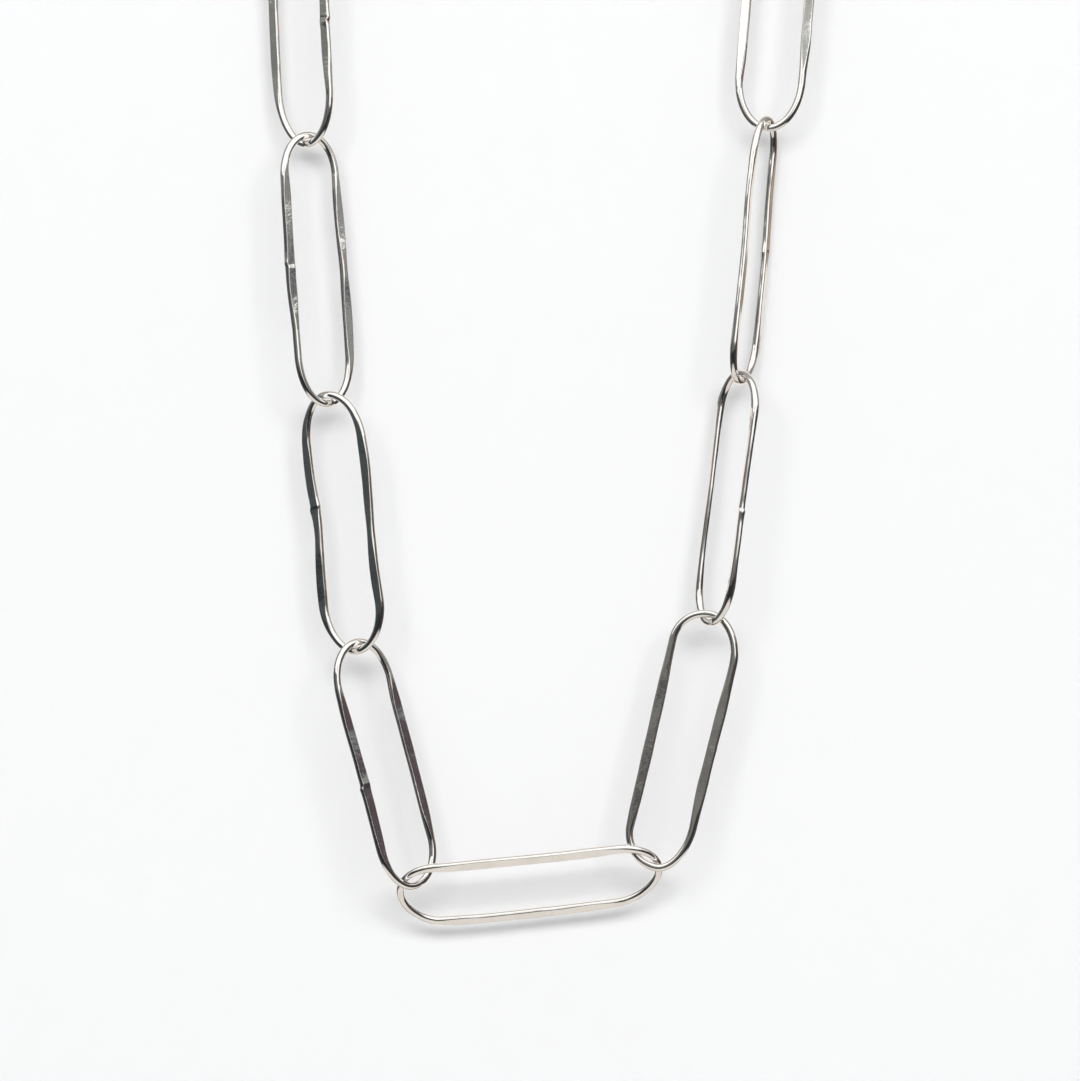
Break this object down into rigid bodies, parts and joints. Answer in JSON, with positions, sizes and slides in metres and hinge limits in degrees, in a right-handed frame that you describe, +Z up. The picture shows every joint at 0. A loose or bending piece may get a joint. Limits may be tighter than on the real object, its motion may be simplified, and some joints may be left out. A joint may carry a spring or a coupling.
{
  "type": "hand-forged paperclip chain necklace",
  "caption": "Necklace of long oval wire links with hammered sides, each hung through the next, closed by a small plain S-shaped hook and hanging as a full loop.",
  "frame": {"origin": "underside of the middle of the hook at the top of the loop, where the necklace rests on the peg or the neck it hangs from", "axes": "+Z up the hanging loop, +X from its left chain to its right chain as seen from the front, +Y away from the viewer to the back of the loop"},
  "size_m": [0.0757, 0.01, 0.1977],
  "materials": {
    "links": "polished silver wire with hammered flats and fine scratches",
    "hook": "polished silver wire"
  },
  "bodies": {
    "root": {"link_bottom": "links", "link_left_1": "links", "link_left_2": "links", "link_left_3": "links", "link_left_4": "links", "link_left_5": "links", "link_arch_left": "links", "link_right_1": "links", "link_right_2": "links", "link_right_3": "links", "link_right_4": "links", "link_right_5": "links", "link_arch_right": "links", "hook_clasp": "hook"}
  },
  "joints": []
}
